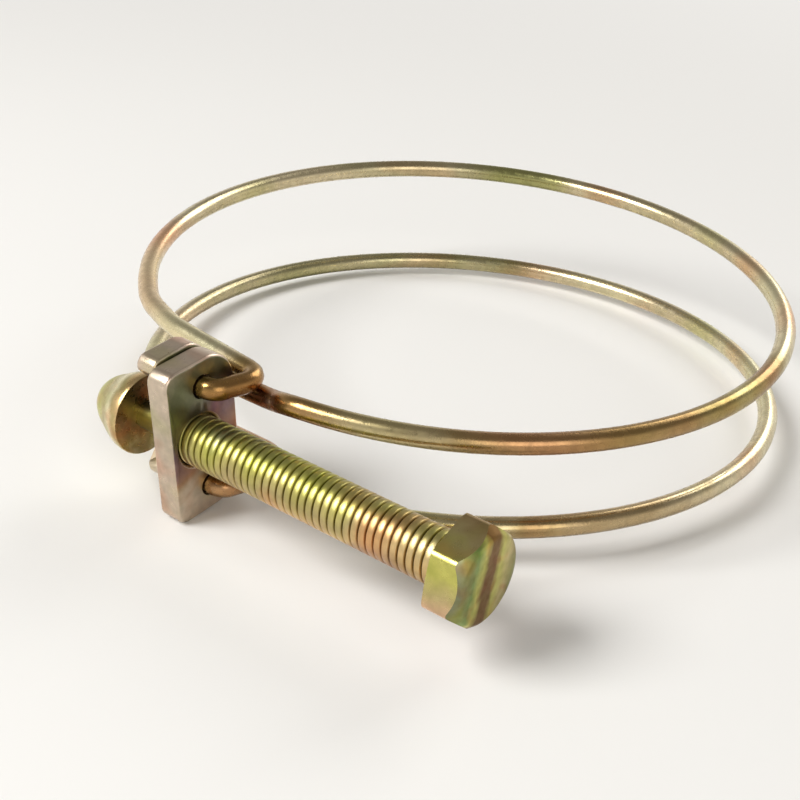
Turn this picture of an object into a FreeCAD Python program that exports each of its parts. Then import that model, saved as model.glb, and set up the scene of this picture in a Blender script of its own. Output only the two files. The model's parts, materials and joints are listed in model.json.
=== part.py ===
"""Double wire hose clamp, zinc plated and passivated steel.

Two round wires run side by side around the hose.  Their left ends hook into
the nut plate from the front, their right ends hook into the pressure plate
from the back, and the wires cross each other beside the two plates.  A hex
screw runs through the nut plate.  Its shoulder pushes the pressure plate
away from the nut plate, which draws the wire ends past each other and makes
both loops smaller.  A domed cap on the screw's neck keeps the pressure plate.

Frame: origin at the centre of the hose, halfway between the wires.  +Z is the
hose's axis.  The screw lies along +X, head last, on the -Y side of the hose.
Everything is drawn in millimetres with the clamp fully open.
"""
import math
import os

import FreeCAD
import Part

# Hose and wire loops
HOSE_D = 80.5              # largest hose that the open loops take
WIRE_D = 2.5
LOOP_SPACING = 13.1        # between the two wire centres, seen across the hose's middle
LOOP_SPLAY = 1.28          # how far each loop's plane rises on its high side
SPLAY_DIRECTION = 137.5    # degrees from +X to the loops' high side
LEFT_ARC_END = -131.0      # where the left half leaves the circle, degrees from +X
RIGHT_ARC_END = -78.0

# Screw
SCREW_D = 6.0
SCREW_OFFSET = 4.9         # screw's axis outside the loops' centre line
EXPOSED_THREAD = 34.9      # head's underside to the nut plate's front
HEAD_AF = 10.0
HEAD_H = 4.1
HEAD_TURN = 20.0           # a head corner's angle from +Y
HEAD_CHAMFER_ANGLE = 50.0
HEAD_FACE_SHARE = 0.93     # diameter of the flat end face over the width across flats
NECK_D = 3.4
NECK_LENGTH = 8.6
THREAD_LEAD_IN = 0.5

# Nut plate, in its own turned frame: across = +Y side, up = +Z
PLATE_ROLL = 5.6           # both plates are turned about the screw by this angle
NUT_T = 3.0
NUT_FRONT_X = -2.6
NUT_OUTER = 4.25           # screw's axis to the outer edge
NUT_INNER = 5.85           # screw's axis to the edge beside the hose
NUT_HEIGHT = 19.5
NUT_CORNER_R = 1.6
NUT_INNER_CORNER_R = 4.0   # the corners beside the hose, where the wires pass
NUT_EDGE_R = 0.35
NUT_HOOK_Y = 1.0
NUT_HOOK_FROM_END = 3.25   # hook's hole from the plate's top or bottom end
THREAD_COUNTERSINK = 0.4

# Pressure plate
PRESS_T = 2.7
PRESS_OUTER = 3.0
PRESS_INNER = 5.0
PRESS_HEIGHT = 15.7
PRESS_RISE = 2.25          # its middle sits above the screw's axis
PRESS_CORNER_R = 1.3
PRESS_INNER_CORNER_R = 3.2
PRESS_EDGE_R = 0.3
PRESS_HOOK_Y = 2.7
PRESS_HOOK_FROM_END = 2.35
FORK_TINE_TIP = 1.5        # height of each tine at the outer edge
FORK_FLARE_DEPTH = 1.9     # how deep the mouth flares
FORK_CORNER_R = 1.6        # round corners at the slot's closed side

# Domed end cap
CAP_D = 9.8
CAP_RIM_T = 0.45
CAP_SHOULDER_D = 7.0       # where the flare meets the dome
CAP_FLARE_LENGTH = 4.2
CAP_LENGTH = 7.1
CAP_FULLNESS = 1.2         # how squarely the flare and the dome turn
CAP_SIDE_DRAFT = 0.55      # the side narrows by this much over that length
CAP_TIP_FULLNESS = 1.9

# Fits
THREAD_CLEARANCE = 0.05    # radial, screw in the nut plate
HOOK_CLEARANCE = 0.2       # radial, wire in its hole
NECK_CLEARANCE = 0.1
PLATE_GAP = 0.1            # between parts that lie against each other
WIRE_GAP = 0.35            # between a wire and the plate it passes
CUT_PAST = 1.0             # how far a cutter reaches beyond what it cuts
SHANK_IN_HEAD = 1.0        # how far the shank reaches into the head that it is joined to
TOUCH = 1e-6               # places closer than this are the same

# Bends of the wires
HOOK_BEND_R = 1.6
TURN_BEND_R = 2.2
RUN_BEND_R = 6.0
LEFT_BEND_R = 18.0

# Left ends of the wires, from the loop to the front of the nut plate
LEFT_RUN = 4.5             # straight run where the wire leaves the circle
APPROACH_X = 10.4          # the next bend lies this far behind the nut plate
APPROACH_Y = 1.9           # and this far further in than the passing place
APPROACH_RISE = 0.1        # and this much further from the middle of the clamp
HOOK_REACH = 2.0           # corner of the hook, ahead of the leg in front of the plate
HOOK_DIP = 0.4             # and nearer the screw than the passing place
HOOK_LEAN = 0.3            # the leg in front of the plate leans by this much

# Right ends of the wires, from the loop to the back of the pressure plate
RIGHT_RUN = 3.0            # straight run where the wire leaves the circle
PASSING_X = 3.0            # start of the run beside the plates, ahead of the nut plate's leg
UPPER_CROSSING_GAP = 0.15  # free space between a wire's two ends where they cross
LOWER_CROSSING_GAP = 0.5

# Worked-out places
WIRE_R = WIRE_D / 2
LOOP_R = HOSE_D / 2 + WIRE_R
AXIS_Y = -(LOOP_R + SCREW_OFFSET)
HEAD_X = NUT_FRONT_X + EXPOSED_THREAD
NUT_BACK_X = NUT_FRONT_X - NUT_T
PRESS_FRONT_X = NUT_BACK_X - PLATE_GAP
PRESS_BACK_X = PRESS_FRONT_X - PRESS_T
SHOULDER_X = PRESS_FRONT_X + PLATE_GAP / 2
BACK_LEG_X = PRESS_BACK_X - PLATE_GAP - WIRE_R
CAP_FACE_X = BACK_LEG_X - WIRE_R - PLATE_GAP
FRONT_LEG_X = NUT_FRONT_X + PLATE_GAP + WIRE_R
NUT_HOOK_Z = NUT_HEIGHT / 2 - NUT_HOOK_FROM_END
PRESS_HOOK_Z = PRESS_HEIGHT / 2 - PRESS_HOOK_FROM_END

X = FreeCAD.Vector(1, 0, 0)


def vec(x, y, z):
    """A point given from the screw's axis: y across it towards the hose, z up."""
    return FreeCAD.Vector(x, AXIS_Y + y, z)


def turned(y, z):
    """Plate coordinates turned with the plates about the screw."""
    roll = math.radians(PLATE_ROLL)
    return y * math.cos(roll) - z * math.sin(roll), y * math.sin(roll) + z * math.cos(roll)


def turn_plate(shape):
    """Turn a plate about the screw's axis and put it on that axis."""
    shape = shape.copy()
    shape.rotate(FreeCAD.Vector(0, 0, 0), X, PLATE_ROLL)
    shape.translate(FreeCAD.Vector(0, AXIS_Y, 0))
    return shape


def loop_height(x, y, side):
    """Height of one loop's plane; side is 1 for the upper wire, -1 for the lower."""
    high = math.radians(SPLAY_DIRECTION)
    rise = LOOP_SPLAY * (x * math.cos(high) + y * math.sin(high)) / LOOP_R
    return side * (LOOP_SPACING / 2 + rise)


def loop_point(angle, side):
    """A point of the loop's circle at an angle from +X."""
    a = math.radians(angle)
    x, y = LOOP_R * math.cos(a), LOOP_R * math.sin(a)
    return FreeCAD.Vector(x, y, loop_height(x, y, side))


def loop_tangent(angle, side):
    """Direction of travel along the loop as the angle grows."""
    a = math.radians(angle)
    ahead = FreeCAD.Vector(-math.sin(a), math.cos(a), 0)
    ahead.z = loop_height(ahead.x, ahead.y, side) - loop_height(0, 0, side)
    return ahead.normalize()


def bend(before, corner, after, radius):
    """The arc that rounds a corner, with its two ends."""
    back = (before - corner).normalize()
    on = (after - corner).normalize()
    half = back.getAngle(on) / 2
    reach = radius / math.tan(half)
    middle = corner + (back + on).normalize() * (radius / math.sin(half) - radius)
    start, end = corner + back * reach, corner + on * reach
    return start, end, Part.Arc(start, middle, end).toShape()


def rounded_run(points, radii):
    """Straight runs through the points with a tangent arc at each inner point."""
    edges = []
    here = points[0]
    for before, corner, after, radius in zip(points, points[1:], points[2:], radii):
        start, end, arc = bend(before, corner, after, radius)
        edges += [Part.LineSegment(here, start).toShape(), arc]
        here = end
    edges.append(Part.LineSegment(here, points[-1]).toShape())
    return edges


def round_wire(edges):
    """Sweep the wire's section along its route."""
    route = Part.Wire(edges)
    start = route.Edges[0].valueAt(route.Edges[0].FirstParameter)
    ahead = route.Edges[0].tangentAt(route.Edges[0].FirstParameter)
    section = Part.Wire(Part.makeCircle(WIRE_R, start, ahead))
    return route.makePipeShell([section], True, False)


def left_end(side):
    """Route from the loop's left to the nut plate's front hook."""
    hook_y, hook_z = turned(NUT_HOOK_Y, side * NUT_HOOK_Z)
    edge_y, _ = turned(NUT_INNER, hook_z)
    beside = edge_y + WIRE_R + WIRE_GAP
    leave = loop_point(LEFT_ARC_END, side)
    return [leave,
            leave + loop_tangent(LEFT_ARC_END, side) * LEFT_RUN,
            vec(NUT_BACK_X - APPROACH_X, beside + APPROACH_Y, hook_z + APPROACH_RISE * side),
            vec(FRONT_LEG_X + HOOK_REACH, beside - HOOK_DIP, hook_z),
            vec(FRONT_LEG_X + HOOK_LEAN, hook_y, hook_z),
            vec(NUT_BACK_X + PLATE_GAP, hook_y, hook_z)]


def right_end(side):
    """Route from the loop's right to the pressure plate's back hook."""
    hook_y, hook_z = turned(PRESS_HOOK_Y, PRESS_RISE + side * PRESS_HOOK_Z)
    crossing_gap = UPPER_CROSSING_GAP if side > 0 else LOWER_CROSSING_GAP
    _, front_hook_z = turned(NUT_HOOK_Y, NUT_HOOK_Z)
    pass_z = side * (front_hook_z - WIRE_D - crossing_gap)
    edge_y, _ = turned(max(NUT_INNER, PRESS_INNER), pass_z)
    beside = edge_y + WIRE_R + WIRE_GAP
    leave = loop_point(RIGHT_ARC_END, side)
    return [vec(PRESS_FRONT_X - PLATE_GAP, hook_y, hook_z),
            vec(BACK_LEG_X, hook_y, hook_z),
            vec(BACK_LEG_X, beside, pass_z),
            vec(FRONT_LEG_X + PASSING_X, beside, pass_z),
            leave - loop_tangent(RIGHT_ARC_END, side) * RIGHT_RUN,
            leave]


def clamp_wire(side):
    """One whole wire: back hook, around the hose, front hook."""
    middle_angle = (RIGHT_ARC_END + LEFT_ARC_END + 360) / 2
    loop = Part.Arc(loop_point(RIGHT_ARC_END, side), loop_point(middle_angle, side),
                    loop_point(LEFT_ARC_END, side)).toShape()
    first = rounded_run(right_end(side), [HOOK_BEND_R, TURN_BEND_R, RUN_BEND_R, RUN_BEND_R])
    last = rounded_run(left_end(side), [LEFT_BEND_R, LEFT_BEND_R, TURN_BEND_R, HOOK_BEND_R])
    return round_wire(first + [loop] + last)


def plate_blank(front_x, thickness, outer, inner, low, high, outer_corner_r, inner_corner_r, edge_r):
    """A flat plate with rounded corners, standing across the screw's axis."""
    blank = Part.makeBox(thickness, outer + inner, high - low,
                         FreeCAD.Vector(front_x - thickness, -outer, low))
    for radius, is_inner in ((outer_corner_r, False), (inner_corner_r, True)):
        corners = [edge for edge in blank.Edges
                   if abs(edge.tangentAt(edge.FirstParameter).x) > 0.9
                   and (edge.CenterOfMass.y > inner - TOUCH if is_inner
                        else edge.CenterOfMass.y < TOUCH - outer)
                   and edge.Curve.TypeId == "Part::GeomLine"]
        blank = blank.makeFillet(radius, corners)
    rims = [edge for edge in blank.Edges
            if abs(edge.CenterOfMass.x - front_x) < TOUCH
            or abs(edge.CenterOfMass.x - front_x + thickness) < TOUCH]
    return blank.makeFillet(edge_r, rims)


def hook_hole(y, z, front_x, thickness):
    """The cutter for one wire's hole."""
    return Part.makeCylinder(WIRE_R + HOOK_CLEARANCE, thickness + 2 * CUT_PAST,
                             FreeCAD.Vector(front_x + CUT_PAST, y, z), -X)


def nut_plate():
    """The tapped plate that the screw turns in."""
    plate = plate_blank(NUT_FRONT_X, NUT_T, NUT_OUTER, NUT_INNER,
                        -NUT_HEIGHT / 2, NUT_HEIGHT / 2, NUT_CORNER_R, NUT_INNER_CORNER_R, NUT_EDGE_R)
    tapped_r = SCREW_D / 2 + THREAD_CLEARANCE
    plate = plate.cut(Part.makeCylinder(tapped_r, NUT_T + 2 * CUT_PAST,
                                        FreeCAD.Vector(NUT_FRONT_X + CUT_PAST, 0, 0), -X))
    sink = Part.makeCone(tapped_r + THREAD_COUNTERSINK, tapped_r, THREAD_COUNTERSINK,
                         FreeCAD.Vector(NUT_FRONT_X, 0, 0), -X)
    plate = plate.cut(sink)
    for side in (1, -1):
        plate = plate.cut(hook_hole(NUT_HOOK_Y, side * NUT_HOOK_Z, NUT_FRONT_X, NUT_T))
    return turn_plate(plate)


def fork_outline():
    """The fork's opening: a slot for the neck that flares to the outer edge."""
    reach = NECK_D / 2 + NECK_CLEARANCE
    low, high = -reach, 2 * PRESS_RISE + reach
    mouth_low = PRESS_RISE - PRESS_HEIGHT / 2 + FORK_TINE_TIP
    mouth_high = PRESS_RISE + PRESS_HEIGHT / 2 - FORK_TINE_TIP
    flare_y = -PRESS_OUTER + FORK_FLARE_DEPTH
    outside = -PRESS_OUTER - CUT_PAST
    corners = [(outside, mouth_low), (-PRESS_OUTER, mouth_low), (flare_y, low), (reach, low),
               (reach, high), (flare_y, high), (-PRESS_OUTER, mouth_high), (outside, mouth_high)]
    points = [FreeCAD.Vector(PRESS_FRONT_X + CUT_PAST, y, z) for y, z in corners]
    return Part.Face(Part.makePolygon(points + points[:1]))


def pressure_plate():
    """The forked plate that the screw's shoulder pushes."""
    plate = plate_blank(PRESS_FRONT_X, PRESS_T, PRESS_OUTER, PRESS_INNER,
                        PRESS_RISE - PRESS_HEIGHT / 2, PRESS_RISE + PRESS_HEIGHT / 2,
                        PRESS_CORNER_R, PRESS_INNER_CORNER_R, PRESS_EDGE_R)
    opening = fork_outline().extrude(-X * (PRESS_T + 2 * CUT_PAST))
    inner_ends = [edge for edge in opening.Edges
                  if edge.CenterOfMass.y > 0 and abs(edge.tangentAt(edge.FirstParameter).x) > 0.9]
    opening = opening.makeFillet(FORK_CORNER_R, inner_ends)
    plate = plate.cut(opening)
    for side in (1, -1):
        plate = plate.cut(hook_hole(PRESS_HOOK_Y, PRESS_RISE + side * PRESS_HOOK_Z, PRESS_FRONT_X, PRESS_T))
    return turn_plate(plate)


def hex_head():
    """Hexagon with its end corners turned down to a round face."""
    across_corners = HEAD_AF / math.cos(math.radians(30))
    corners = []
    for k in range(6):
        a = math.radians(HEAD_TURN + 60 * k)
        corners.append(vec(HEAD_X, across_corners / 2 * math.cos(a), across_corners / 2 * math.sin(a)))
    prism = Part.Face(Part.makePolygon(corners + corners[:1])).extrude(X * HEAD_H)
    face_r = HEAD_AF * HEAD_FACE_SHARE / 2
    drop = (across_corners / 2 - face_r) * math.tan(math.radians(HEAD_CHAMFER_ANGLE))
    skirt = Part.makeCylinder(across_corners, HEAD_H - drop, vec(HEAD_X, 0, 0), X)
    cone = Part.makeCone(across_corners / 2, face_r, drop, vec(HEAD_X + HEAD_H - drop, 0, 0), X)
    return prism.common(skirt.fuse(cone))


def screw():
    """Hex screw: head, thread, shoulder and neck."""
    body_r, neck_r = SCREW_D / 2, NECK_D / 2
    tip_x = SHOULDER_X - NECK_LENGTH
    end_x = HEAD_X + SHANK_IN_HEAD
    outline = [(end_x, 0), (end_x, body_r), (SHOULDER_X + THREAD_LEAD_IN, body_r),
               (SHOULDER_X, body_r - THREAD_LEAD_IN / 2), (SHOULDER_X, neck_r), (tip_x, neck_r), (tip_x, 0)]
    points = [vec(x, r, 0) for x, r in outline]
    shank = Part.Face(Part.makePolygon(points + points[:1])).revolve(vec(0, 0, 0), X, 360)
    return hex_head().fuse(shank).removeSplitter()


def end_cap():
    """Bell-shaped cap pressed on the neck: flat face, thin rim, flare and dome."""
    rim_x = CAP_FACE_X - CAP_RIM_T
    dome_x = CAP_FACE_X - CAP_FLARE_LENGTH
    tip_x = CAP_FACE_X - CAP_LENGTH
    dome_r, rim_r, bore_r = CAP_SHOULDER_D / 2, CAP_D / 2, NECK_D / 2
    bore_x = SHOULDER_X - NECK_LENGTH
    flare = Part.BezierCurve()
    flare.setPoles([vec(rim_x, rim_r, 0), vec(rim_x - CAP_FULLNESS, rim_r, 0),
                    vec(dome_x + CAP_FULLNESS, dome_r + CAP_SIDE_DRAFT, 0), vec(dome_x, dome_r, 0)])
    dome = Part.BezierCurve()
    dome.setPoles([vec(dome_x, dome_r, 0), vec(dome_x - CAP_FULLNESS, dome_r - CAP_SIDE_DRAFT, 0),
                   vec(tip_x, CAP_TIP_FULLNESS, 0), vec(tip_x, 0, 0)])
    edges = [Part.makeLine(vec(CAP_FACE_X, bore_r, 0), vec(CAP_FACE_X, rim_r, 0)),
             Part.makeLine(vec(CAP_FACE_X, rim_r, 0), vec(rim_x, rim_r, 0)),
             flare.toShape(), dome.toShape(),
             Part.makeLine(vec(tip_x, 0, 0), vec(bore_x, 0, 0)),
             Part.makeLine(vec(bore_x, 0, 0), vec(bore_x, bore_r, 0)),
             Part.makeLine(vec(bore_x, bore_r, 0), vec(CAP_FACE_X, bore_r, 0))]
    return Part.Face(Part.Wire(edges)).revolve(vec(0, 0, 0), X, 360)


NODES = {
    "upper_wire": lambda: clamp_wire(1),
    "lower_wire": lambda: clamp_wire(-1),
    "nut_plate": nut_plate,
    "pressure_plate": pressure_plate,
    "screw": screw,
    "end_cap": end_cap,
}


def main():
    """Build every piece and write it to the parts folder."""
    os.makedirs("parts", exist_ok=True)
    for name, make in NODES.items():
        shape = make()
        shape.exportStep("parts/" + name + ".step")
        print(name, "solids", len(shape.Solids), "valid", shape.isValid(), "volume", round(shape.Volume, 2))


main()
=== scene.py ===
"""Looks of the double wire hose clamp: zinc plated steel with a yellow passivation film.

The wires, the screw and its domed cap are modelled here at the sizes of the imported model, with a real
thread, rolled edges and round bends.  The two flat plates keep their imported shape, merged and smoothed.
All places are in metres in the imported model's own frame.  Run as a script it makes the whole clamp, and
the sidebar has a button for each step, with the sizes and tones that it uses.
"""
import json
import math

import bpy
from bpy.props import FloatProperty, IntProperty, PointerProperty, StringProperty
from bpy.types import Operator, Panel, PropertyGroup
from mathutils import Matrix, Vector


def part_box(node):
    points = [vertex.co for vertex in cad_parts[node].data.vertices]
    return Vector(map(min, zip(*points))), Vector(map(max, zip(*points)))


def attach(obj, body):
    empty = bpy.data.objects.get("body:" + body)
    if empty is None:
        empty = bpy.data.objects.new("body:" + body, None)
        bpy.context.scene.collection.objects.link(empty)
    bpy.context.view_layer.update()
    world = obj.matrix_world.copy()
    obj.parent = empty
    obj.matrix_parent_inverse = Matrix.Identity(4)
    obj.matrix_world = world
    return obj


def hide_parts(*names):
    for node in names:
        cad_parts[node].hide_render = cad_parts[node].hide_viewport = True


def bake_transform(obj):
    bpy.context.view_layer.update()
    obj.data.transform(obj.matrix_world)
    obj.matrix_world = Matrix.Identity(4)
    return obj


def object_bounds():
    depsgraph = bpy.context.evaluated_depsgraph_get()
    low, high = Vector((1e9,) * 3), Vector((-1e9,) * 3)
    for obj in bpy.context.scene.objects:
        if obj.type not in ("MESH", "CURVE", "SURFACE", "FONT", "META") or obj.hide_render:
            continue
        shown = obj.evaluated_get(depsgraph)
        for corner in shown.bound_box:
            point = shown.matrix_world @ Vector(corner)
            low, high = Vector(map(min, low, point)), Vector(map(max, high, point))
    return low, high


bl_info = {
    "name": "Double Wire Hose Clamp",
    "version": (1, 0, 0),
    "blender": (4, 5, 0),
    "location": "3D View > Sidebar > Clamp",
    "description": "Models and finishes a screw clamp with two round wires",
    "category": "Object",
}

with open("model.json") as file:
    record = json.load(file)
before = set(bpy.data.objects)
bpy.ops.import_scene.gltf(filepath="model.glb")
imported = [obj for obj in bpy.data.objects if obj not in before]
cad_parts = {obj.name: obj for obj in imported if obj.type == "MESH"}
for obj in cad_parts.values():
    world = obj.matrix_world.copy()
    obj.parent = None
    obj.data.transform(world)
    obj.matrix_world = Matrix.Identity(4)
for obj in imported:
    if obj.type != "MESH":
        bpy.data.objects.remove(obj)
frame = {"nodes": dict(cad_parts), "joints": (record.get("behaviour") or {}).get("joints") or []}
CAD_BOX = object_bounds()
AXIS_Y = next(j for j in frame["joints"] if j["name"] == "screw_turn")["pos_m"][1]
HEAD_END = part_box("screw")[1].x
CAP_TIP, CAP_FACE = (corner.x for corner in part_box("end_cap"))
MM = 0.001
MERGE = 1e-6

# Corners in mm of each wire's two ends.  The back end hooks into the pressure plate, and the front
# end into the nut plate.
BACK_ENDS = {
    "upper": ((-5.8, -44.469, 7.976), (-9.75, -44.469, 7.976), (-9.75, -39.36, 3.917),
              (1.75, -39.36, 3.917), (5.694, -41.217, 5.562), (8.628, -40.593, 5.508)),
    "lower": ((-5.8, -43.396, -2.971), (-9.75, -43.396, -2.971), (-9.75, -38.63, -3.567),
              (1.75, -38.63, -3.567), (5.694, -41.217, -5.562), (8.628, -40.593, -5.508)),
}
FRONT_ENDS = {
    "upper": ((-27.226, -31.32, 6.516), (-23.832, -34.271, 6.378), (-16.0, -37.719, 6.667),
              (0.75, -40.019, 6.567), (-0.95, -46.039, 6.567), (-5.5, -46.039, 6.567)),
    "lower": ((-27.226, -31.32, -6.516), (-23.832, -34.271, -6.378), (-16.0, -36.456, -6.471),
              (0.75, -38.756, -6.371), (-0.95, -44.77, -6.371), (-5.5, -44.77, -6.371)),
}
# Radii in mm of the bends at the inner corners above, in the same order.
BACK_BENDS = (1.6, 2.2, 6.0, 6.0)
FRONT_BENDS = (18.0, 18.0, 2.2, 1.6)
# Steps of a wire's mesh along each span of its route, and its section's bevel resolution.
WIRE_STEPS, WIRE_ROUND = 12, 4

# Where the turned corners of the head roll over into its end face: (outwards, below the face) in mm.
HEAD_ROLL = ((0.30, 0.36), (0.17, 0.20), (0.04, 0.095), (-0.12, 0.035), (-0.32, 0.008), (-0.6, 0.0))

# Size of the dip's stains, and the faint tints of the blooms where the film's thickness wavers.
STAIN = 1.1 * MM
BLOOMS = ((0.22, "FFD2C4"), (0.45, "FFFFFF"), (0.55, "FFFFFF"), (0.78, "EEF6D6"))

# Soft lamps: name, place and width in metres, and power in watts.
LAMPS = (("key", (-0.27, -0.44, 0.48), 0.32, 4.4),
         ("fill", (0.55, -0.35, 0.35), 0.45, 1.2),
         ("rim", (0.05, 0.60, 0.40), 0.40, 1.8))
# The camera's place in metres, turn in degrees and lens in mm, fitted to both loops.
CAMERA_PLACE = (0.0901067, -0.1366540, 0.0744725)
CAMERA_TURN = (61.979475, -3.565202, 37.976563)
CAMERA_LENS = 59.8456


def length(name, description, default):
    """A size in metres that the sidebar shows."""
    return FloatProperty(name=name, description=description, default=default, min=0.0,
                         precision=5, subtype="DISTANCE", unit="LENGTH")


def angle(name, description, degrees):
    """An angle that the sidebar shows."""
    return FloatProperty(name=name, description=description, default=math.radians(degrees),
                         subtype="ANGLE", unit="ROTATION")


def tone(name, description, hex_colour):
    """A colour of the finish, written as sRGB hex."""
    return StringProperty(name=name, description=description, default=hex_colour)


class ClampSizes(PropertyGroup):
    """Sizes of the new pieces."""

    wire: length("Wire", "Diameter of both wires", 2.5 * MM)
    tongue: length("Tongue", "How far the tongue between a wire's halves reaches into each", 1 * MM)
    loop: length("Loop radius", "Wire's centre line to the hose's centre", 41.5 * MM)
    spacing: length("Loop spacing", "Between the two wires' centres", 13.1 * MM)
    splay: length("Loop splay", "Rise of each loop on its high side", 1.28 * MM)
    splay_at: angle("Splay direction", "Where the loops are furthest apart", 137.5)
    back_leaves: angle("Back end leaves", "Where the back end leaves the circle", -78.0)
    front_leaves: angle("Front end leaves", "Where the front end leaves the circle", 229.0)
    thread: length("Thread", "Outside diameter of the screw's thread", 5.98 * MM)
    pitch: length("Pitch", "Distance between two turns of the thread", 1.0 * MM)
    depth: length("Thread depth", "Height of the rolled thread", 0.32 * MM)
    shoulder: FloatProperty(name="Shoulder", description="Where the thread ends at the pressure plate",
                            default=-5.65 * MM, precision=5, unit="LENGTH")
    neck: length("Neck", "Diameter of the turned neck", 3.4 * MM)
    neck_length: length("Neck length", "Shoulder to the end inside the cap", 8.6 * MM)
    flats: length("Across flats", "Width of the hexagon", 10.0 * MM)
    head: length("Head height", "Thickness of the hexagon", 4.1 * MM)
    head_turn: angle("Head turn", "A corner's angle from the hose's side", 20.0)
    head_chamfer: angle("Head chamfer", "Slope of the turned corners", 50.0)
    head_face: FloatProperty(name="Head face", description="End face's width over the width across flats",
                             default=0.93, min=0.5, max=1.0, subtype="FACTOR")
    head_edges: length("Head edges", "Rounding of the hexagon's long edges", 0.48 * MM)
    rim: length("Cap", "Diameter of the cap's rim", 9.8 * MM)
    dome: length("Dome", "Diameter where the cap's flare meets its dome", 7.0 * MM)
    flare: length("Flare", "Length of the cap's flare", 4.2 * MM)
    sides: IntProperty(name="Sides", description="Facets round each turned piece", default=96, min=24)


class ClampFinish(PropertyGroup):
    """Tones of the passivation film."""

    straw: tone("Straw", "Thin film of the screw and the cap", "BEAD7A")
    olive: tone("Olive", "Thicker film, a yellow green", "8E8C52")
    lime: tone("Lime", "Bright yellow green of the thread and the head", "C4BF68")
    sage: tone("Sage", "Greyish green straw of the wires", "B2A980")
    champagne: tone("Champagne", "Pale pinkish film of the wires", "D6C6A2")
    bronze: tone("Bronze", "Film between straw and copper", "B0956A")
    taupe: tone("Taupe", "Brownish grey of the wires at their hooks", "8C765E")
    copper: tone("Copper", "Film that turns to copper", "AC7A54")
    peach: tone("Peach", "Copper film that is still thin", "DABA86")
    blush: tone("Blush", "Pale pink of the head's lower side", "E2B896")
    rose: tone("Rose", "Film that turns to pink", "B08A6E")
    # umber is the brown band down the middle of the head's end face
    umber: tone("Umber", "Brown of the film's darkest band", "7E5E34")
    leaf: tone("Leaf", "Green band of the film", "869A58")
    moss: tone("Moss", "Greenish grey of the flat faces", "84856A")
    plum: tone("Plum", "Purple at the film's thickest", "806A74")
    cream: tone("Cream", "Almost bare zinc", "E6DEB4")
    zinc: tone("Zinc", "Silvery beige of the plates", "C6B8A2")
    shell: tone("Shell", "Pinkish beige of the plates", "D6C2AE")
    floor: tone("Floor", "Floor and surroundings", "EFEDE9")
    dim: tone("Ceiling", "Dimmer part of the studio overhead", "8C8A86")


def linear(hex_colour):
    """sRGB hex as linear red, green, blue and alpha."""
    shares = [int(hex_colour[at:at + 2], 16) / 255 for at in (0, 2, 4)]
    return [s / 12.92 if s <= 0.04045 else ((s + 0.055) / 1.055) ** 2.4 for s in shares] + [1.0]


def node(tree, kind, sockets=None, **settings):
    """Add one node with its settings; a socket takes a value or another node's output."""
    made = tree.nodes.new(kind)
    for key, value in settings.items():
        setattr(made, key, value)
    for key, value in (sockets or {}).items():
        if isinstance(value, bpy.types.NodeSocket):
            tree.links.new(value, made.inputs[key])
        else:
            made.inputs[key].default_value = value
    return made


def ramp(tree, factor, stops):
    """Colour along a list of (position, hex) stops."""
    made = node(tree, "ShaderNodeValToRGB", {"Fac": factor})
    points = made.color_ramp.elements
    while len(points) < len(stops):
        points.new(1.0)
    for point, (position, hex_colour) in zip(points, stops):
        point.position = position
        point.color = linear(hex_colour)
    return made.outputs["Color"]


def darkened(tree, colour, share):
    """Colour times a grey share."""
    return node(tree, "ShaderNodeMix", {0: 1.0, 6: colour, 7: share},
                data_type="RGBA", blend_type="MULTIPLY").outputs[2]


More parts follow.
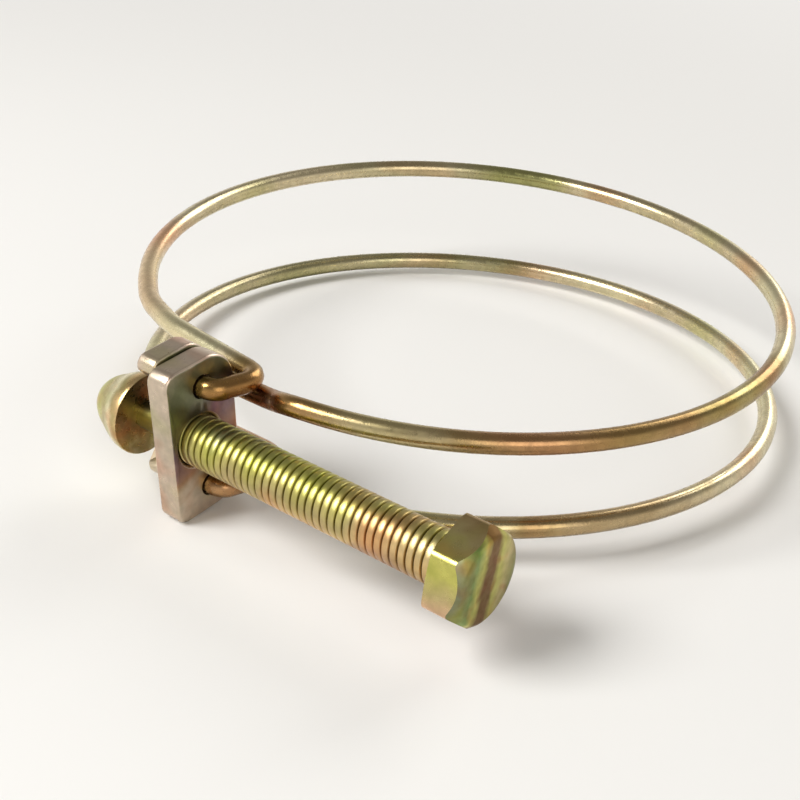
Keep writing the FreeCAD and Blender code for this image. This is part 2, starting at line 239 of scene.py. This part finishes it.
def passivated_steel(name, stops, patch, stretch=(1, 1, 1), drift=(0, 0, 0), start=0.5, swing=1.0,
                     centre=(0, 0, 0), roughness=(0.22, 0.40), grain=0.25 * MM, brushed=(1, 1, 1),
                     depth=0.010 * MM, tinge=0.6, thread=None, thicker=None):
    """Zinc plated steel with a yellow passivation film.

    The film shifts its hue with its thickness, so it runs through the stops in soft patches and bands.
    The plating under it is smooth but finely grained, which breaks up the highlights.  A thread's root
    and crest radius darken its grooves with painted shade, and a place, reach and amount thicken the film
    round that place.
    """
    material = bpy.data.materials.new(name)
    material.use_nodes = True
    tree = material.node_tree
    tree.nodes.clear()
    place = node(tree, "ShaderNodeTexCoord").outputs["Object"]
    run = node(tree, "ShaderNodeMapping", {"Vector": place, "Scale": stretch}).outputs["Vector"]
    off = node(tree, "ShaderNodeVectorMath", {0: place, 1: centre}, operation="SUBTRACT").outputs[0]
    wide = node(tree, "ShaderNodeTexNoise", {"Vector": run, "Scale": 1 / patch, "Detail": 2.0,
                                             "Roughness": 0.45, "Distortion": 0.6}).outputs["Fac"]
    along = node(tree, "ShaderNodeVectorMath", {0: off, 1: drift},
                 operation="DOT_PRODUCT").outputs["Value"]
    spread = node(tree, "ShaderNodeMath", {0: wide, 1: swing, 2: start - swing / 2},
                  operation="MULTIPLY_ADD").outputs[0]
    film = node(tree, "ShaderNodeMath", {0: along, 1: spread}, operation="ADD").outputs[0]
    if thicker:
        where, reach, more = thicker
        away = node(tree, "ShaderNodeVectorMath", {0: place, 1: where},
                    operation="DISTANCE").outputs["Value"]
        near = node(tree, "ShaderNodeMapRange", {"Value": away, "From Min": reach, "From Max": 0.0,
                                                 "To Max": more}, interpolation_type="SMOOTHSTEP")
        film = node(tree, "ShaderNodeMath", {0: film, 1: near.outputs["Result"]},
                    operation="ADD").outputs[0]
    colour = ramp(tree, film, stops)
    bloom = node(tree, "ShaderNodeTexNoise", {"Vector": off, "Scale": 1 / (0.7 * patch),
                                              "Detail": 0.0}).outputs["Fac"]
    tint = ramp(tree, bloom, BLOOMS)
    colour = node(tree, "ShaderNodeMix", {0: tinge, 6: colour, 7: tint},
                  data_type="RGBA", blend_type="MULTIPLY").outputs[2]
    stain = node(tree, "ShaderNodeTexNoise", {"Vector": place, "Scale": 1 / STAIN,
                                              "Detail": 3.0}).outputs["Fac"]
    dull = node(tree, "ShaderNodeMapRange", {"Value": stain, "From Min": 0.35, "From Max": 0.75,
                                             "To Min": 1.0, "To Max": 0.80}).outputs["Result"]
    colour = darkened(tree, colour, dull)
    if thread:
        root, crest = thread
        across = node(tree, "ShaderNodeMapping", {"Vector": place, "Location": (0, -AXIS_Y, 0),
                                                  "Scale": (0, 1, 1)}).outputs["Vector"]
        radius = node(tree, "ShaderNodeVectorMath", {0: across}, operation="LENGTH").outputs["Value"]
        # painted shade in the grooves: the colour darkens from the crest down to the thread's root
        groove_shade = node(tree, "ShaderNodeMapRange", {"Value": radius, "From Min": root, "From Max": crest,
                                                 "To Min": 0.45, "To Max": 1.0}).outputs["Result"]
        colour = darkened(tree, colour, groove_shade)
    rough = node(tree, "ShaderNodeMapRange", {"Value": stain, "From Min": 0.3, "From Max": 0.7,
                                              "To Min": roughness[0], "To Max": roughness[1]})
    drawn = node(tree, "ShaderNodeMapping", {"Vector": place, "Scale": brushed}).outputs["Vector"]
    fine = node(tree, "ShaderNodeTexNoise", {"Vector": drawn, "Scale": 1 / grain, "Detail": 2.0})
    bump = node(tree, "ShaderNodeBump", {"Height": fine.outputs["Fac"], "Strength": 0.6,
                                         "Distance": depth})
    shader = node(tree, "ShaderNodeBsdfPrincipled",
                  {"Base Color": colour, "Metallic": 1.0, "Roughness": rough.outputs["Result"],
                   "Normal": bump.outputs["Normal"]})
    node(tree, "ShaderNodeOutputMaterial", {"Surface": shader.outputs["BSDF"]})
    return material


def pale_board(name, hex_colour, near, far):
    """Matt pale board that fades into the pale background between two distances from the clamp."""
    material = bpy.data.materials.new(name)
    material.use_nodes = True
    tree = material.node_tree
    tree.nodes.clear()
    board = node(tree, "ShaderNodeBsdfPrincipled", {"Base Color": linear(hex_colour), "Roughness": 0.9})
    glow = node(tree, "ShaderNodeEmission", {"Color": linear(hex_colour), "Strength": 1.0})
    place = node(tree, "ShaderNodeTexCoord").outputs["Object"]
    away = node(tree, "ShaderNodeVectorMath", {0: place}, operation="LENGTH").outputs["Value"]
    fade = node(tree, "ShaderNodeMapRange", {"Value": away, "From Min": near, "From Max": far},
                interpolation_type="SMOOTHSTEP").outputs["Result"]
    seen = node(tree, "ShaderNodeMath", {0: fade, 1: looked_at(tree)}, operation="MULTIPLY").outputs[0]
    mix = node(tree, "ShaderNodeMixShader", {"Fac": seen, 1: board.outputs["BSDF"],
                                             2: glow.outputs["Emission"]})
    node(tree, "ShaderNodeOutputMaterial", {"Surface": mix.outputs["Shader"]})
    return material


def looked_at(tree):
    """1 for what the camera sees straight, mirrored or through glass, and 0 for light on the clamp."""
    ray = node(tree, "ShaderNodeLightPath").outputs
    seen = node(tree, "ShaderNodeMath", {0: ray["Is Camera Ray"], 1: ray["Is Glossy Ray"]},
                operation="MAXIMUM").outputs[0]
    return node(tree, "ShaderNodeMath", {0: seen, 1: ray["Is Transmission Ray"]},
                operation="MAXIMUM").outputs[0]


def deselect():
    """Leave nothing selected."""
    if bpy.context.object and bpy.context.object.mode != "OBJECT":
        bpy.ops.object.mode_set(mode="OBJECT")
    bpy.ops.object.select_all(action="DESELECT")


def chosen(piece):
    """Make one piece the selected and active one."""
    deselect()
    piece.select_set(True)
    bpy.context.view_layer.objects.active = piece
    return piece


def tidy_mesh(piece, gap=MERGE, sharp=35):
    """Merge doubles, point the faces outwards and shade the piece smooth up to its sharp edges."""
    chosen(piece)
    bpy.ops.object.mode_set(mode="EDIT")
    bpy.ops.mesh.select_all(action="SELECT")
    bpy.ops.mesh.remove_doubles(threshold=gap)
    bpy.ops.mesh.normals_make_consistent(inside=False)
    bpy.ops.object.mode_set(mode="OBJECT")
    bpy.ops.object.shade_smooth_by_angle(angle=math.radians(sharp))
    return piece


def flat_faces(piece):
    """Let the broad faces set the shading, so that a flat stays flat up to its rounded edge."""
    chosen(piece)
    weigh = piece.modifiers.new("Weigh", "WEIGHTED_NORMAL")
    weigh.keep_sharp = True
    weigh.weight = 60
    bpy.ops.object.modifier_apply(modifier=weigh.name)
    return piece


def turned_solid(name, stations, sides):
    """A closed solid turned on the screw's axis, extruded from station to station of (x, radius)."""
    deselect()
    here, radius = stations[0]
    bpy.ops.mesh.primitive_circle_add(vertices=sides, radius=radius, fill_type="NGON",
                                      location=(here, AXIS_Y, 0), rotation=(0, math.pi / 2, 0))
    piece = bpy.context.object
    piece.name = name
    bpy.ops.object.transform_apply(location=True, rotation=True, scale=True)
    bpy.ops.object.mode_set(mode="EDIT")
    bpy.ops.mesh.select_all(action="SELECT")
    for x, wanted in stations[1:]:
        bpy.ops.mesh.extrude_region_move(TRANSFORM_OT_translate={"value": (x - here, 0, 0),
                                                                 "orient_type": "GLOBAL"})
        share = wanted / radius
        bpy.ops.transform.resize(value=(1, share, share), orient_type="GLOBAL",
                                 center_override=(x, AXIS_Y, 0))
        here, radius = x, wanted
    bpy.ops.object.mode_set(mode="OBJECT")
    return tidy_mesh(piece, 2 * MERGE)


def bevel_selected(piece, width, segments):
    """Round the selected edges of a piece."""
    chosen(piece)
    bpy.context.tool_settings.mesh_select_mode = (False, True, False)
    bpy.ops.object.mode_set(mode="EDIT")
    bpy.ops.mesh.bevel(offset=width, segments=segments, affect="EDGES")
    bpy.ops.object.mode_set(mode="OBJECT")


def combine(piece, other, operation):
    """Boolean of two closed pieces; the second one is used up."""
    chosen(piece)
    cut = piece.modifiers.new("Combine", "BOOLEAN")
    cut.operation = operation
    cut.solver = "EXACT"
    cut.object = other
    bpy.ops.object.modifier_apply(modifier=cut.name)
    bpy.data.objects.remove(other)
    return piece


def dress(piece, *materials):
    """Give a piece its materials in place of any others."""
    piece.data.materials.clear()
    for material in materials:
        piece.data.materials.append(material)


def joined(piece, other):
    """One piece made of two."""
    chosen(piece)
    other.select_set(True)
    bpy.ops.object.join()
    return piece


def loop_place(sizes, at, side):
    """A point of the loop at an angle, with the direction of travel there."""
    x, y = sizes.loop * math.cos(at), sizes.loop * math.sin(at)
    slope = Vector((math.cos(sizes.splay_at), math.sin(sizes.splay_at))) * sizes.splay / sizes.loop
    point = Vector((x, y, side * (sizes.spacing / 2 + slope.dot(Vector((x, y))))))
    ahead = Vector((-math.sin(at), math.cos(at), 0))
    ahead.z = side * slope.dot(ahead.xy)
    return point, ahead.normalized()


def rounded_run(corners, bends):
    """Bezier points of straight runs joined by round bends, each with its two handles."""
    corners = [Vector(corner) * MM for corner in corners]
    made = [[corners[0], None, None]]
    for before, corner, after, bend in zip(corners, corners[1:], corners[2:], bends):
        back, on = (before - corner).normalized(), (after - corner).normalized()
        turn = math.pi - back.angle(on)
        reach = bend * MM * math.tan(turn / 2)
        handle = 4 / 3 * math.tan(turn / 4) * bend * MM
        start, end = corner + back * reach, corner + on * reach
        made += [[start, None, start - back * handle], [end, end - on * handle, None]]
    made.append([corners[-1], None, None])
    return made


def loop_run(sizes, first, last, side, parts=8):
    """Bezier points along a part of the loop."""
    step = (last - first) / parts
    handle = 4 / 3 * math.tan(step / 4) * sizes.loop
    made = []
    for k in range(parts + 1):
        point, ahead = loop_place(sizes, first + k * step, side)
        made.append([point, point - ahead * handle, point + ahead * handle])
    made[0][1] = made[-1][2] = None
    return made


def bent_wire(name, route, thickness):
    """A round wire bent along its route, closed at both ends."""
    deselect()
    bpy.ops.curve.primitive_bezier_curve_add(location=(0, 0, 0))
    piece = bpy.context.object
    piece.name = name
    line = piece.data
    line.splines.clear()
    spline = line.splines.new("BEZIER")
    spline.bezier_points.add(len(route) - 1)
    for k, (point, (place, arrive, leave)) in enumerate(zip(spline.bezier_points, route)):
        before = route[k - 1][0] if k else place
        after = route[k + 1][0] if k + 1 < len(route) else place
        point.handle_left_type = point.handle_right_type = "FREE"
        point.co = place
        point.handle_left = place + (before - place) / 3 if arrive is None else arrive
        point.handle_right = place + (after - place) / 3 if leave is None else leave
    line.dimensions = "3D"
    line.resolution_u = line.render_resolution_u = spline.resolution_u = WIRE_STEPS
    line.twist_mode = "MINIMUM"
    line.bevel_depth = thickness / 2
    line.bevel_resolution = WIRE_ROUND
    line.use_fill_caps = True
    chosen(piece)
    bpy.ops.object.convert(target="MESH")
    return tidy_mesh(bpy.context.object, sharp=45)


class CLAMP_OT_wires(Operator):
    """Bend the two wires, each in a left and a right half that meet at the back of the loop"""

    bl_idname = "hose_clamp.wires"
    bl_label = "Wires"

    def execute(self, context):
        sizes, finish = context.scene.clamp_sizes, context.scene.clamp_finish
        film = [(0.0, finish.olive), (0.18, finish.sage), (0.32, finish.champagne), (0.45, finish.cream),
                (0.55, finish.champagne), (0.64, finish.bronze), (0.76, finish.copper),
                (0.90, finish.taupe), (1.0, finish.plum)]
        steel = passivated_steel("passivated wire", film, 20 * MM, drift=(4.0, -3.2, 0), start=0.42,
                                 swing=0.6, roughness=(0.20, 0.34), grain=0.32 * MM, depth=0.016 * MM,
                                 tinge=1.0, thicker=((0, AXIS_Y, 0), 18 * MM, 0.23))
        back, thinner = math.pi / 2, 0.955
        for place, side in (("upper", 1), ("lower", -1)):
            right = rounded_run(BACK_ENDS[place], BACK_BENDS)
            arc = loop_run(sizes, sizes.back_leaves, back, side)
            right[-1][2] = arc[0][2]
            right = bent_wire(place + "_wire_right", right + arc[1:], sizes.wire)
            arc = loop_run(sizes, back, sizes.front_leaves, side)
            left = rounded_run(FRONT_ENDS[place], FRONT_BENDS)
            left[0][1] = arc[-1][1]
            left = bent_wire(place + "_wire_left", arc[:-1] + left, sizes.wire)
            # the halves shear apart a little as the loop tightens, so a tongue bridges them inside
            reach = sizes.tongue / sizes.loop
            tongue = loop_run(sizes, back - reach, back + reach, side, parts=1)
            left = joined(left, bent_wire("tongue", tongue, thinner * sizes.wire))
            for half in (left, right):
                dress(half, steel)
                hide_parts(place + "_wire")
            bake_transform(left)
            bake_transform(right)
        return {"FINISHED"}


def rolled_thread(name, sizes, first_x, last_x):
    """A right-hand thread rolled on a rod, from one turn's outline wound along the screw's axis."""
    crest = sizes.thread / 2
    root = crest - sizes.depth
    low, flank, high = root + 0.01 * MM, crest - 0.05 * MM, crest - 0.015 * MM
    outline = ((0.0, root), (0.05, low), (0.14, flank), (0.17, high), (0.21, crest), (0.50, crest),
               (0.79, crest), (0.83, high), (0.86, flank), (0.95, low), (1.0, root))
    points = [(share * sizes.pitch, radius, 0) for share, radius in outline]
    mesh = bpy.data.meshes.new(name)
    mesh.from_pydata(points, [(k, k + 1) for k in range(len(points) - 1)], [])
    piece = bpy.data.objects.new(name, mesh)
    bpy.context.scene.collection.objects.link(piece)
    chosen(piece)
    # two turns to spare, which the two cuts take off
    turns = math.ceil((last_x - first_x) / sizes.pitch) + 2
    wind = piece.modifiers.new("Wind", "SCREW")
    wind.axis = "X"
    wind.angle = math.tau
    wind.screw_offset = sizes.pitch
    wind.iterations = turns
    wind.steps = wind.render_steps = sizes.sides // 2
    wind.use_merge_vertices = True
    wind.merge_threshold = MERGE
    bpy.ops.object.modifier_apply(modifier=wind.name)
    piece.data.transform(Matrix.Translation((first_x - 1.5 * sizes.pitch, AXIS_Y, 0)))
    bpy.ops.object.mode_set(mode="EDIT")
    for x, outwards in ((first_x, -1), (last_x, 1)):
        bpy.ops.mesh.select_all(action="SELECT")
        bpy.ops.mesh.bisect(plane_co=(x, AXIS_Y, 0), plane_no=(outwards, 0, 0), use_fill=True,
                            clear_outer=True, threshold=MERGE)
    bpy.ops.object.mode_set(mode="OBJECT")
    # the thread starts with a turned lead, half a millimetre long
    lead, fall = 0.5 * MM, 0.3 * MM
    for vertex in piece.data.vertices:
        off = Vector((0, vertex.co.y - AXIS_Y, vertex.co.z))
        most = crest - fall + (vertex.co.x - first_x) * fall / lead
        if 0 < most < off.length:
            off *= most / off.length
            vertex.co.y, vertex.co.z = AXIS_Y + off.y, off.z
    return tidy_mesh(piece, sharp=60)


def hexagon_head(name, sizes):
    """A forged hexagon with its end corners turned down to a round face."""
    corner = sizes.flats / 2 / math.cos(math.radians(30))
    under, spare = HEAD_END - sizes.head, 1 * MM
    deselect()
    bpy.ops.mesh.primitive_cylinder_add(vertices=6, radius=corner, depth=sizes.head + spare)
    piece = bpy.context.object
    piece.name = name
    middle = Vector((under + sizes.head / 2, AXIS_Y, 0))
    piece.data.transform(Matrix.Translation(middle) @ Matrix.Rotation(sizes.head_turn, 4, "X")
                         @ Matrix.Rotation(math.pi / 2, 4, "Y"))
    # only the six long edges are rounded here
    for item in (*piece.data.vertices, *piece.data.polygons):
        item.select = False
    for edge in piece.data.edges:
        start, end = (piece.data.vertices[k].co for k in edge.vertices)
        edge.select = abs(end.x - start.x) > sizes.head
    bevel_selected(piece, sizes.head_edges, segments=6)
    # a turned solid takes off the corners: narrow underneath, then clear of the hexagon, then the face
    seat, seat_rise = corner * 0.86, 0.12 * MM
    face, clear = sizes.flats * sizes.head_face / 2, corner + 0.1 * MM
    shoulder = HEAD_END - (clear - face) * math.tan(sizes.head_chamfer)
    crown = [(HEAD_END - fall * MM, face + out * MM) for out, fall in HEAD_ROLL]
    skirt = turned_solid("skirt", [(under, seat), (under + seat_rise, clear), (shoulder, clear)] + crown,
                         sizes.sides)
    combine(piece, skirt, "INTERSECT")
    return tidy_mesh(piece, sharp=30)


class CLAMP_OT_screw(Operator):
    """Wind the screw's thread and join it to its hexagon head and turned neck"""

    bl_idname = "hose_clamp.screw"
    bl_label = "Screw"

    def execute(self, context):
        sizes, finish = context.scene.clamp_sizes, context.scene.clamp_finish
        under, into_head, into_rod = HEAD_END - sizes.head, 0.4 * MM, 0.5 * MM
        piece = rolled_thread("hex_screw", sizes, sizes.shoulder, under + into_head)
        neck = turned_solid("neck", [(sizes.shoulder - sizes.neck_length, sizes.neck / 2),
                                     (sizes.shoulder + into_rod, sizes.neck / 2)], sizes.sides)
        combine(piece, neck, "UNION")
        combine(piece, hexagon_head("head", sizes), "UNION")
        flat_faces(tidy_mesh(piece, sharp=40))
        # the painted shade of the thread's grooves fades out this far below the crest
        crest, unshaded_crest = sizes.thread / 2, 0.03 * MM
        axis, tall = (0, AXIS_Y, 0), 11.4 * MM
        shank = passivated_steel(
            "passivated rolled thread",
            [(0.0, finish.moss), (0.18, finish.lime), (0.40, finish.straw), (0.60, finish.peach),
             (0.80, finish.rose), (1.0, finish.copper)],
            7 * MM, drift=(10.0, 0, -80.0), start=0.30, swing=0.5, roughness=(0.30, 0.42), centre=axis,
            thread=(crest - sizes.depth, crest - unshaded_crest))
        side = passivated_steel(
            "passivated forged side",
            [(0.0, finish.copper), (0.30, finish.blush), (0.48, finish.straw), (0.68, finish.lime),
             (0.82, finish.lime), (0.92, finish.straw), (1.0, finish.bronze)],
            4 * MM, drift=(0, 0, 1 / tall), start=0.5, swing=0.2, roughness=(0.24, 0.36), centre=axis)
        # the end face runs through green and yellow bands, with a brown band down its middle
        face = passivated_steel(
            "passivated forged face",
            [(0.0, finish.moss), (0.10, finish.olive), (0.22, finish.leaf), (0.33, finish.lime),
             (0.41, finish.umber), (0.55, finish.umber), (0.64, finish.lime), (0.78, finish.straw),
             (0.90, finish.olive), (1.0, finish.moss)],
            1.8 * MM, stretch=(1, 1, 0.6), drift=(0, 95.0, -21.0), start=0.5, swing=0.16,
            roughness=(0.28, 0.46), grain=0.5 * MM, depth=0.02 * MM, centre=axis)
        dress(piece, shank, side, face)
        slack, leans_forward = 0.01 * MM, 0.3
        for flat in piece.data.polygons:
            if flat.center.x > under - slack:
                flat.material_index = 1 if flat.normal.x < leans_forward else 2
        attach(piece, "drive")
        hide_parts("screw")
        return {"FINISHED"}


def bezier(start, first, second, end, share):
    """A point of a cubic curve through two (x, radius) ends."""
    rest = 1 - share
    return tuple(rest ** 3 * a + 3 * rest ** 2 * share * b + 3 * rest * share ** 2 * c + share ** 3 * d
                 for a, b, c, d in zip(start, first, second, end))


class CLAMP_OT_cap(Operator):
    """Turn the bell-shaped cap that holds the pressure plate on the screw's neck"""

    bl_idname = "hose_clamp.cap"
    bl_label = "End cap"

    def execute(self, context):
        sizes, finish = context.scene.clamp_sizes, context.scene.clamp_finish
        rim, dome, bore, point = sizes.rim / 2, sizes.dome / 2, sizes.neck / 2, 0.005 * MM
        rim_x, dome_x, inside = CAP_FACE - 0.45 * MM, CAP_FACE - sizes.flare, CAP_FACE - 0.6 * MM
        # handles of the two curves: along the axis, outwards, and across the blunt tip
        full, draft, blunt = 1.2 * MM, 0.55 * MM, 1.9 * MM
        lower = ((rim_x, rim), (rim_x - full, rim), (dome_x + full, dome + draft), (dome_x, dome))
        upper = ((dome_x, dome), (dome_x - full, dome - draft), (CAP_TIP, blunt), (CAP_TIP, point))
        edge, cut = 0.12 * MM, 0.035 * MM
        outline = [(inside, bore), (CAP_FACE, bore), (CAP_FACE, rim - edge),
                   (CAP_FACE - cut, rim - cut), (CAP_FACE - edge, rim)]
        flare_steps, dome_steps = 14, 18
        outline += [bezier(*lower, k / flare_steps) for k in range(flare_steps + 1)]
        outline += [bezier(*upper, k / dome_steps) for k in range(1, dome_steps + 1)]
        piece = flat_faces(turned_solid("domed_cap", outline, sizes.sides))
        steel = passivated_steel(
            "passivated cap",
            [(0.0, finish.cream), (0.30, finish.cream), (0.45, finish.lime), (0.62, finish.straw),
             (0.80, finish.cream), (0.90, finish.straw), (1.0, finish.peach)],
            3 * MM, drift=(120.0, 0, 35.0), start=0.97, swing=0.35, roughness=(0.22, 0.38),
            centre=(CAP_FACE, AXIS_Y, 0))
        dress(piece, steel)
        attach(piece, "drive")
        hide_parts("end_cap")
        return {"FINISHED"}


def stamped_plate(name, source):
    """A plate punched from flat bar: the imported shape, merged and smoothed over its rolled edges."""
    deselect()
    piece = bpy.data.objects.new(name, source.data.copy())
    bpy.context.scene.collection.objects.link(piece)
    return flat_faces(tidy_mesh(piece, sharp=32))


class CLAMP_OT_plates(Operator):
    """Finish the nut plate and the pressure plate, broad faces and punched edges apart"""

    bl_idname = "hose_clamp.plates"
    bl_label = "Plates"

    def execute(self, context):
        finish = context.scene.clamp_finish
        axis, broad = (0, AXIS_Y, 0), 0.9
        edge = passivated_steel(
            "passivated punched edge",
            [(0.0, finish.shell), (0.30, finish.zinc), (0.45, finish.shell), (0.62, finish.zinc),
             (0.80, finish.shell), (1.0, finish.cream)],
            5 * MM, drift=(0, 0, 22.0), start=0.55, swing=0.35, roughness=(0.26, 0.38),
            grain=0.2 * MM, brushed=(1, 1, 0.12), centre=axis)
        face = passivated_steel(
            "passivated stamped face",
            [(0.0, finish.shell), (0.22, finish.zinc), (0.36, finish.rose), (0.52, finish.plum),
             (0.70, finish.moss), (0.90, finish.moss), (1.0, finish.zinc)],
            5 * MM, drift=(0, -25.0, 42.0), start=0.47, swing=0.4, roughness=(0.28, 0.44), centre=axis)
        for name, body in (("nut_plate", "clamp"), ("pressure_plate", "pusher")):
            piece = stamped_plate("stamped_" + name, frame["nodes"][name])
            dress(piece, edge, face)
            for flat in piece.data.polygons:
                flat.material_index = int(abs(flat.normal.x) > broad)
            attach(piece, body)
            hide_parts(name)
        return {"FINISHED"}


def soft_lamp(name, place, size, watts):
    """A square soft lamp that points at the clamp's middle."""
    deselect()
    bpy.ops.object.light_add(type="AREA", location=place)
    lamp = bpy.context.object
    lamp.name = name
    lamp.data.size = size
    lamp.data.energy = watts
    lamp.rotation_euler = Vector(place).to_track_quat("Z", "Y").to_euler()


class CLAMP_OT_stage(Operator):
    """Add the pale floor, the soft lamps and the camera"""

    bl_idname = "hose_clamp.stage"
    bl_label = "Stage"

    def execute(self, context):
        finish = context.scene.clamp_finish
        deselect()
        below = 0.02 * MM
        bpy.ops.mesh.primitive_plane_add(size=6, location=(0, 0, CAD_BOX[0].z - below))
        floor = bpy.context.object
        floor.name = "floor"
        dress(floor, pale_board("matt pale board", finish.floor, near=0.12, far=0.45))
        for lamp in LAMPS:
            soft_lamp(*lamp)
        world = bpy.data.worlds.new("pale studio")
        world.use_nodes = True
        tree = world.node_tree
        tree.nodes.clear()
        strength = node(tree, "ShaderNodeMapRange", {"Value": looked_at(tree), "To Min": 0.6,
                                                      "To Max": 1.0})
        # pale round the horizon and dimmer overhead, so that the metal has something to mirror
        way = node(tree, "ShaderNodeTexCoord").outputs["Generated"]
        height = node(tree, "ShaderNodeSeparateXYZ", {"Vector": way}).outputs["Z"]
        sky = ramp(tree, height, [(0.0, finish.floor), (0.2, finish.floor), (0.6, finish.dim),
                                  (1.0, finish.dim)])
        glow = node(tree, "ShaderNodeBackground", {"Color": sky, "Strength": strength.outputs["Result"]})
        node(tree, "ShaderNodeOutputWorld", {"Surface": glow.outputs["Background"]})
        context.scene.world = world
        context.scene.view_settings.view_transform = "Standard"
        bpy.ops.object.camera_add(location=CAMERA_PLACE, rotation=[math.radians(a) for a in CAMERA_TURN])
        camera = bpy.context.object
        camera.data.lens = CAMERA_LENS
        camera.data.sensor_width = 36.0
        camera.data.clip_start = 0.005
        context.scene.camera = camera
        return {"FINISHED"}


PIECES = (CLAMP_OT_stage, CLAMP_OT_wires, CLAMP_OT_screw, CLAMP_OT_cap, CLAMP_OT_plates)


class CLAMP_PT_panel(Panel):
    """The clamp's steps, sizes and tones in the sidebar"""

    bl_idname = "CLAMP_PT_panel"
    bl_label = "Hose clamp"
    bl_space_type = "VIEW_3D"
    bl_region_type = "UI"
    bl_category = "Clamp"

    def draw(self, context):
        for step in PIECES:
            self.layout.operator(step.bl_idname)
        for group in (context.scene.clamp_sizes, context.scene.clamp_finish):
            column = self.layout.column()
            for key in type(group).__annotations__:
                column.prop(group, key)


CLASSES = (ClampSizes, ClampFinish, *PIECES, CLAMP_PT_panel)


def register():
    """Add the classes and the scene's two groups of settings."""
    for one in CLASSES:
        bpy.utils.register_class(one)
    bpy.types.Scene.clamp_sizes = PointerProperty(type=ClampSizes)
    bpy.types.Scene.clamp_finish = PointerProperty(type=ClampFinish)


def unregister():
    """Take them out again."""
    del bpy.types.Scene.clamp_finish
    del bpy.types.Scene.clamp_sizes
    for one in reversed(CLASSES):
        bpy.utils.unregister_class(one)


def main():
    """Make every piece in order."""
    register()
    bpy.ops.hose_clamp.stage()
    bpy.ops.hose_clamp.wires()
    bpy.ops.hose_clamp.screw()
    bpy.ops.hose_clamp.cap()
    bpy.ops.hose_clamp.plates()


if __name__ == "__main__":
    main()
